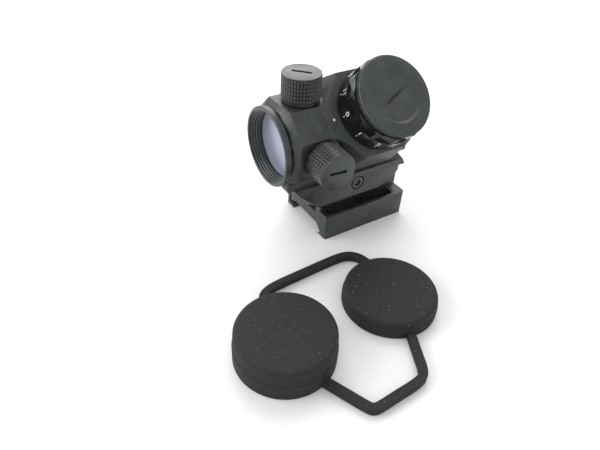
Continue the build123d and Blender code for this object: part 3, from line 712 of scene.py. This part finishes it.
class SIGHT_OT_machined_parts(bpy.types.Operator):
    """Round the edges of the housing, the foot's clamp plate, the riser and its jaw"""
    bl_idname = "sight.machined_parts"
    bl_label = "Machined Parts"

    def execute(self, context):
        width = context.scene.sight_finish.edge_round
        for node in ("housing", "foot_clamp_plate", "riser_base", "riser_clamp_jaw"):
            seat(rounded_copy(node, node + "_machined", width), node)
        return {"FINISHED"}


class SIGHT_OT_fasteners(bpy.types.Operator):
    """Round the edges of the clamp bolt, the foot's cross screw and the jaw's guide pins"""
    bl_idname = "sight.fasteners"
    bl_label = "Fasteners"

    def execute(self, context):
        for node in ("riser_clamp_bolt", "foot_cross_screw", "jaw_guide_pins"):
            seat(rounded_copy(node, node + "_turned", 0.12 * MM), node)
        return {"FINISHED"}


def ring_outline(low, high, rim, bore, inward):
    """Section of a lens ring: its spigot, its rounded rim, and a mouth that steps down to its bore."""
    face, spigot_end = (low, high) if inward > 0 else (high, low)
    spigot = 12.9 * MM
    rim_width = 2.2 * MM
    chamfer = 0.15 * MM
    rim_end = face + inward * rim_width
    outline = [(bore, spigot_end), (spigot, spigot_end), (spigot, rim_end), (rim - chamfer, rim_end),
               (rim, rim_end - inward * chamfer)]
    # rounded outer edge of the face: millimetres in from the rim, and back from the face
    for inset, sink in ((0, 0.55), (0.08, 0.3), (0.3, 0.08), (0.55, 0), (1.0, 0)):
        outline.append((rim - inset * MM, face + inward * sink * MM))
    grooves = 4
    groove_pitch = 0.9 * MM
    first_groove = 0.25 * MM
    groove_depth = 0.1 * MM
    groove_start = 0.25 * MM
    groove_end = 0.62 * MM
    ledge_end = 0.80 * MM
    mouth = rim - 1.3 * MM
    step = (mouth - bore) / grooves
    ledge = step * 0.7
    for groove in range(grooves):
        top = face + inward * (first_groove + groove * groove_pitch)
        radius = mouth - groove * step
        outline += [(radius, top), (radius + groove_depth, top + inward * groove_start),
                    (radius + groove_depth, top + inward * groove_end),
                    (radius - ledge, top + inward * ledge_end)]
    bore_start = 4.6 * MM
    outline.append((bore, face + inward * bore_start))
    return outline


class SIGHT_OT_end_rings(bpy.types.Operator):
    """Turn the eyepiece and objective rings, with grooves in their mouths"""
    bl_idname = "sight.end_rings"
    bl_label = "End Rings"

    def execute(self, context):
        bore = stations("eyepiece_clip_ring", TUBE)[2]
        for node, inward in (("eyepiece_ring", 1), ("objective_ring", -1)):
            outline = ring_outline(*stations(node, TUBE), bore, inward)
            ring = turned(node + "_turned", outline, around=160, hollow=True)
            smooth(ring, degrees=28)
            seat(ring, node, TUBE)
        return {"FINISHED"}


class SIGHT_OT_lenses(bpy.types.Operator):
    """Turn the eyepiece lens with a shallow curve on both faces"""
    bl_idname = "sight.lenses"
    bl_label = "Lenses"

    def execute(self, context):
        low, high, radius = stations("eyepiece_lens", TUBE)
        hollow = 0.35 * MM            # how far the rear face falls in at its middle
        rings = 10
        shares = [step / rings for step in range(1, rings + 1)]
        back = [(radius * share, low + hollow * (1 - share * share)) for share in shares]
        front = [(radius * share, high - hollow * 0.5 * (1 - share * share)) for share in reversed(shares)]
        lens = turned("eyepiece_lens_ground", back + front, around=128)
        smooth(lens, degrees=40)
        seat(lens, "eyepiece_lens", TUBE)
        return {"FINISHED"}


class SIGHT_OT_turret_caps(bpy.types.Operator):
    """Turn and knurl the two turret caps, and cut their coin slots"""
    bl_idname = "sight.turret_caps"
    bl_label = "Turret Caps"

    def execute(self, context):
        sizes = context.scene.sight_knurls
        bore = 5.3 * MM
        cavity = 5.0 * MM
        slot_depth = 0.8 * MM
        for node, where, turn in (("elevation_cap", ELEVATION, 45), ("windage_cap", WINDAGE, -5)):
            base, top, radius = stations(node, where)
            root = radius - sizes.depth
            foot = radius - 0.2 * MM
            neck = root - 0.15 * MM
            crown = radius - 0.08 * MM
            knurl_low = base + 0.95 * MM
            knurl_high = top - 0.45 * MM
            outline = [(bore, base + cavity), (bore, base), (foot - 0.25 * MM, base), (foot, base + 0.2 * MM),
                       (foot, base + 0.5 * MM), (neck, base + 0.65 * MM), (neck, base + 0.85 * MM)]
            outline += [(root, knurl_low + (knurl_high - knurl_low) * row / sizes.rows)
                        for row in range(sizes.rows + 1)]
            outline += [(crown, top - 0.36 * MM), (crown, top - 0.2 * MM),
                        (crown - 0.12 * MM, top - 0.05 * MM), (crown - 0.27 * MM, top)]
            cap = turned(node + "_knurled", outline, around=sizes.ribs)
            raise_knurls(cap, knurl_low, knurl_high, sizes.flank, sizes.depth)
            slot = (sizes.slot_length, sizes.slot_width, 2 * slot_depth)
            cut(cap, block(slot, (0, 0, top), math.radians(turn)))
            smooth(cap, degrees=24)
            seat(cap, node, where)
        return {"FINISHED"}


FIRST_SETTING = math.radians(181)     # place of the numeral 0 round the dial


def dial_numerals(sizes, radius, height):
    """White numerals round the dial, each on the wall over a short tick."""
    marks = []
    thickness = 0.12 * MM
    spacing = sizes.numeral_height * 0.62 / radius
    letter_size = sizes.numeral_height * 1.38
    tick_size = (0.28 * MM, 1.0 * MM, thickness)
    tick_drop = 2.35 * MM
    for setting in range(sizes.settings):
        angle = FIRST_SETTING + math.tau * setting / sizes.settings
        digits = str(setting)
        for index, digit in enumerate(digits):
            spot = angle + spacing * (index - (len(digits) - 1) / 2)
            deselect()
            bpy.ops.object.text_add()
            text = bpy.context.object
            text.data.body = digit
            text.data.size = letter_size
            text.data.align_x = "CENTER"
            text.data.align_y = "CENTER"
            text.data.extrude = thickness / 2
            text.data.offset = 0.03 * MM
            bpy.ops.object.convert(target="MESH")
            marks.append((bpy.context.object, spot, height))
        marks.append((block(tick_size, (0, 0, 0)), angle, height - tick_drop))
    for mark, angle, level in marks:
        outward = Vector((math.cos(angle), math.sin(angle), 0))
        sideways = Vector((-math.sin(angle), math.cos(angle), 0))
        bake_place(mark, place(outward * radius + Vector((0, 0, level)), sideways, outward))
    return join([mark for mark, angle, level in marks])


class SIGHT_OT_dial(bpy.types.Operator):
    """Turn the brightness dial, cut its finger scallops and print its numerals"""
    bl_idname = "sight.dial"
    bl_label = "Brightness Dial"

    def execute(self, context):
        sizes = context.scene.sight_dial
        base, top, radius = stations("brightness_dial", DIAL)
        bore = 12.35 * MM
        low_edge = 0.35 * MM
        top_edge = low_edge * 1.4
        outline = [(bore, base), (radius - low_edge, base), (radius, base + low_edge),
                   (radius, top - top_edge), (radius - top_edge, top), (bore, top)]
        dial = turned("brightness_dial_turned", outline, around=192, hollow=True)
        scallop_base = base + (top - base) * 0.60
        scallop_length = 20 * MM
        distance = radius - sizes.scallop_depth + sizes.scallop_radius
        for scallop in range(sizes.settings):
            angle = FIRST_SETTING + math.tau * scallop / sizes.settings
            spot = (distance * math.cos(angle), distance * math.sin(angle), scallop_base + scallop_length / 2)
            cut(dial, round_bar(sizes.scallop_radius, scallop_length, spot, (0, 0, 0), 192))
        smooth(dial, degrees=30)
        seat(dial, "brightness_dial", DIAL)
        numerals = dial_numerals(sizes, radius, base + (top - base) * 0.42)
        numerals.name = "dial_numerals"
        bake_place(numerals, DIAL)
        numerals.data.materials.clear()
        numerals.data.materials.append(finish_of("index_white"))
        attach(numerals, frame["nodes"]["brightness_dial"]["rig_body"])
        return {"FINISHED"}


class SIGHT_OT_battery_cap(bpy.types.Operator):
    """Turn the battery cap with its dish and fine teeth, and cut its coin slot"""
    bl_idname = "sight.battery_cap"
    bl_label = "Battery Cap"

    def execute(self, context):
        sizes = context.scene.sight_dial
        spigot_end, top, radius = stations("battery_cap", DIAL)
        seal_gap = 0.02 * MM
        base = stations("battery_cap_seal", DIAL)[1] + seal_gap
        spigot = 10.25 * MM
        bore = 8.6 * MM
        tooth = 0.4 * MM
        root = radius - tooth
        teeth_low = base + 0.3 * MM
        teeth_high = top - 0.4 * MM
        outline = [(bore, base), (bore, spigot_end), (spigot, spigot_end), (spigot, base),
                   (root - (teeth_low - base), base), (root, teeth_low), (root, teeth_high),
                   (root - 0.1 * MM, top - 0.12 * MM), (root - 0.45 * MM, top)]
        steps = 10
        edge = 0.9 * MM               # half the width of the dish's soft edge
        for step in range(steps + 1):
            share = step / steps
            sink = share * share * (3 - 2 * share)
            outline.append((sizes.dish_radius + edge * (1 - 2 * share), top - sizes.dish_depth * sink))
        outline.append((sizes.dish_radius * 0.4, top - sizes.dish_depth * 1.08))
        cap = turned("battery_cap_toothed", outline, around=sizes.teeth)
        raise_knurls(cap, teeth_low, teeth_high, tooth / 2, tooth)
        turn = math.radians(25)
        disc = 28.5 * MM              # radius of the cutter that sinks the coin slot
        slot_width = 1.2 * MM
        sink = sizes.dish_depth + 0.85 * MM
        cutter = round_bar(disc, slot_width, (0, 0, 0), (math.pi / 2, 0, 0), 256)
        bake_place(cutter, Matrix.Translation((0, 0, top - sink + disc)) @ Matrix.Rotation(turn, 4, "Z"))
        cut(cap, cutter)
        smooth(cap, degrees=26)
        seat(cap, "battery_cap", DIAL)
        return {"FINISHED"}


# places on the table in millimetres, as the CAD solid has them: (x, y) of each cup's middle, and each strap's
# route, which starts inside the small cup and ends inside the large one
LARGE_CUP = {"centre": (53.8, -60.8), "radius": 16.1, "height": 11.8}
SMALL_CUP = {"centre": (52.7, -18.0), "radius": 16.2, "height": 6.6}
LEFT_STRAP = ((38.5, -13.6), (35.0, -13.9), (31.0, -14.8), (28.4, -17.2), (27.2, -20.6), (27.3, -28.0),
              (27.8, -40.0), (28.1, -48.0), (28.8, -52.8), (30.6, -56.2), (34.0, -57.6), (38.9, -58.4))
RIGHT_STRAP = ((66.0, -20.6), (70.1, -22.6), (77.0, -25.9), (80.8, -27.6), (83.2, -29.6), (83.9, -33.4),
               (84.1, -41.0), (84.4, -46.6), (84.2, -49.4), (81.6, -50.8), (77.1, -52.8), (67.5, -57.2))


def moulded_cup(name, cup, bore, sizes):
    """Closed cup, mouth down, with a wider skirt and a rounded top edge."""
    radius = cup["radius"] * MM
    height = cup["height"] * MM
    roof = 1.8 * MM
    skirt = radius + 0.4 * MM
    rounding = 0.35 * MM
    lip = 0.3 * MM
    step = height * 0.5
    edge = sizes.edge_radius
    outline = [(bore, height - roof), (bore, lip), (bore + lip, 0), (skirt - rounding, 0), (skirt, rounding),
               (skirt, step - 0.2 * MM), (radius + 0.1 * MM, step + 0.05 * MM), (radius, step + 0.3 * MM)]
    outline += arc(radius - edge, height - edge, edge, 0, 80, 6)
    outline += [(radius - edge - 1.2 * MM, height), (radius * 0.55, height - 0.04 * MM)]
    piece = turned(name, outline, around=160)
    x, y = cup["centre"]
    bake_place(piece, Matrix.Translation((x * MM, y * MM, FLOOR_Z)))
    return piece


def moulded_strap(name, route, sizes, lift):
    """Strap swept along a smooth route on the floor, with a rounded section."""
    half_width = sizes.strap_width / 2
    half_height = sizes.strap_thickness / 2
    section = bpy.data.curves.new(name + "_section", "CURVE")
    outline = section.splines.new("NURBS")
    corners = [(1, 0.62), (1, 1), (0.62, 1), (-0.62, 1), (-1, 1), (-1, 0.62),
               (-1, -0.62), (-1, -1), (-0.62, -1), (0.62, -1), (1, -1), (1, -0.62)]
    outline.points.add(len(corners) - 1)
    for point, (across, up) in zip(outline.points, corners):
        point.co = (half_width * across, half_height * up, 0, 1)
    outline.order_u = 3
    outline.use_cyclic_u = True
    profile = bpy.data.objects.new(name + "_section", section)
    bpy.context.scene.collection.objects.link(profile)
    curve = bpy.data.curves.new(name, "CURVE")
    curve.dimensions = "3D"
    curve.resolution_u = 10
    line = curve.splines.new("NURBS")
    line.points.add(len(route) - 1)
    for point, (x, y) in zip(line.points, route):
        point.co = (x * MM, y * MM, FLOOR_Z + lift + half_height, 1)
    line.order_u = 3
    line.use_endpoint_u = True
    curve.bevel_mode = "OBJECT"
    curve.bevel_object = profile
    curve.use_fill_caps = True
    strap = bpy.data.objects.new(name, curve)
    bpy.context.scene.collection.objects.link(strap)
    activate(strap)
    bpy.ops.object.convert(target="MESH")
    strap = bpy.context.object
    bpy.ops.object.mode_set(mode="EDIT")
    bpy.ops.mesh.select_all(action="SELECT")
    bpy.ops.mesh.remove_doubles(threshold=TINY)
    bpy.ops.mesh.normals_make_consistent(inside=False)
    bpy.ops.object.mode_set(mode="OBJECT")
    bpy.data.objects.remove(profile)
    return strap


class SIGHT_OT_lens_cover(bpy.types.Operator):
    """Mould the rubber lens cover: two cups joined by two straps"""
    bl_idname = "sight.lens_cover"
    bl_label = "Lens Cover"

    def execute(self, context):
        sizes = context.scene.sight_cover
        clearance = 0.1 * MM
        bore = stations("eyepiece_ring", TUBE)[2] + clearance
        lift = 0.3 * MM
        cover = moulded_cup("lens_cover_moulded", LARGE_CUP, bore, sizes)
        for other in (moulded_cup("small_cup", SMALL_CUP, bore, sizes),
                      moulded_strap("left_strap", LEFT_STRAP, sizes, lift),
                      moulded_strap("right_strap", RIGHT_STRAP, sizes, lift)):
            apply_modifier(cover, "union", "BOOLEAN", operation="UNION", object=other, solver="MANIFOLD")
            bpy.data.objects.remove(other)
        smooth(cover, degrees=34)
        seat(cover, "lens_cover")
        return {"FINISHED"}


# ---------------------------------------------------------------- stage
TABLE_SIZE = 3.0
LIGHTS_AIM = Vector((0.03, -0.03, 0.0))
# each softbox: its name, its place and its width in metres, and the setting that holds its power
SOFTBOXES = (
    ("key_softbox", (-0.46, 0.26, 0.50), 0.75, "key_power"),
    ("fill_softbox", (0.55, -0.25, 0.55), 0.6, "fill_power"),
    ("rear_softbox", (-0.30, -0.60, 0.34), 0.5, "rear_power"),
)
CAMERA_PLACE = (0.13906, -0.11497, 0.13115)
CAMERA_AZIMUTH = math.radians(56.19)      # from behind the eyepiece, round to the right
CAMERA_ELEVATION = math.radians(39.40)
CAMERA_ROLL = math.radians(3.29)
CAMERA_LENS = 31.28                       # millimetres, on a sensor 36 mm wide
SENSOR_WIDTH = 36.0


class SIGHT_OT_stage(bpy.types.Operator):
    """Set up the pale table, the soft lights and the camera"""
    bl_idname = "sight.stage"
    bl_label = "Stage"

    def execute(self, context):
        studio = context.scene.sight_studio
        self.lay_table()
        self.light_room(context.scene, studio)
        self.set_camera(context.scene)
        return {"FINISHED"}

    def lay_table(self):
        deselect()
        bpy.ops.mesh.primitive_plane_add(size=TABLE_SIZE, location=(0, 0, FLOOR_Z))
        table = bpy.context.object
        table.name = "table"
        bake_place(table)
        material, tree, shader = new_material("table_white")
        weave = object_noise(tree, scale=1200.0)
        base = mix_colours(tree, weave, (0.86, 0.86, 0.85), (0.90, 0.90, 0.89))
        tree.links.new(base, shader.inputs["Base Color"])
        shader.inputs["Roughness"].default_value = 0.9
        shader.inputs["Specular IOR Level"].default_value = 0.1
        table.data.materials.append(material)

    def light_room(self, scene, studio):
        world = bpy.data.worlds.new("white_room")
        scene.world = world
        world.use_nodes = True
        sky = world.node_tree.nodes["Background"]
        sky.inputs["Color"].default_value = (0.97, 0.985, 1.0, 1.0)
        sky.inputs["Strength"].default_value = studio.sky_strength
        for name, spot, size, power in SOFTBOXES:
            data = bpy.data.lights.new(name, "AREA")
            data.shape = "SQUARE"
            data.size = size
            data.energy = getattr(studio, power)
            light = bpy.data.objects.new(name, data)
            scene.collection.objects.link(light)
            aim = LIGHTS_AIM - Vector(spot)
            light.location = spot
            light.rotation_euler = aim.to_track_quat("-Z", "Y").to_euler()
        scene.view_settings.view_transform = "Standard"

    def set_camera(self, scene):
        level_share = math.cos(CAMERA_ELEVATION)
        back = Vector((math.sin(CAMERA_AZIMUTH) * level_share, -math.cos(CAMERA_AZIMUTH) * level_share,
                       math.sin(CAMERA_ELEVATION)))
        level = Vector((math.cos(CAMERA_AZIMUTH), math.sin(CAMERA_AZIMUTH), 0))
        upward = back.cross(level)
        right = math.cos(CAMERA_ROLL) * level + math.sin(CAMERA_ROLL) * upward
        up = math.cos(CAMERA_ROLL) * upward - math.sin(CAMERA_ROLL) * level
        data = bpy.data.cameras.new("camera")
        data.sensor_width = SENSOR_WIDTH
        data.lens = CAMERA_LENS
        data.clip_start = 0.005
        data.clip_end = 10.0
        camera = bpy.data.objects.new("camera", data)
        scene.collection.objects.link(camera)
        made = Matrix((right, up, back)).transposed().to_4x4()
        made.translation = CAMERA_PLACE
        camera.matrix_world = made
        scene.camera = camera


# ---------------------------------------------------------------- add-on
OPERATORS = (
    SIGHT_OT_finishes,
    SIGHT_OT_machined_parts,
    SIGHT_OT_fasteners,
    SIGHT_OT_end_rings,
    SIGHT_OT_lenses,
    SIGHT_OT_turret_caps,
    SIGHT_OT_dial,
    SIGHT_OT_battery_cap,
    SIGHT_OT_lens_cover,
    SIGHT_OT_stage,
)


class SIGHT_PT_panel(bpy.types.Panel):
    """Steps that finish the sight, in order, and their settings"""
    bl_idname = "SIGHT_PT_panel"
    bl_label = "Red Dot Sight"
    bl_space_type = "VIEW_3D"
    bl_region_type = "UI"
    bl_category = "Sight"

    def draw(self, context):
        for operator in OPERATORS:
            self.layout.operator(operator.bl_idname)
        for name, group in SETTINGS.items():
            for setting in group.__annotations__:
                self.layout.prop(getattr(context.scene, name), setting)


def register():
    for group in SETTINGS.values():
        bpy.utils.register_class(group)
    for name, group in SETTINGS.items():
        setattr(bpy.types.Scene, name, PointerProperty(type=group))
    for operator in OPERATORS:
        bpy.utils.register_class(operator)
    bpy.utils.register_class(SIGHT_PT_panel)


def unregister():
    bpy.utils.unregister_class(SIGHT_PT_panel)
    for operator in reversed(OPERATORS):
        bpy.utils.unregister_class(operator)
    for name, group in SETTINGS.items():
        delattr(bpy.types.Scene, name)
        bpy.utils.unregister_class(group)


def main():
    register()
    bpy.ops.sight.finishes()
    bpy.ops.sight.machined_parts()
    bpy.ops.sight.fasteners()
    bpy.ops.sight.end_rings()
    bpy.ops.sight.lenses()
    bpy.ops.sight.turret_caps()
    bpy.ops.sight.dial()
    bpy.ops.sight.battery_cap()
    bpy.ops.sight.lens_cover()
    bpy.ops.sight.stage()


if __name__ == "__main__":
    main()
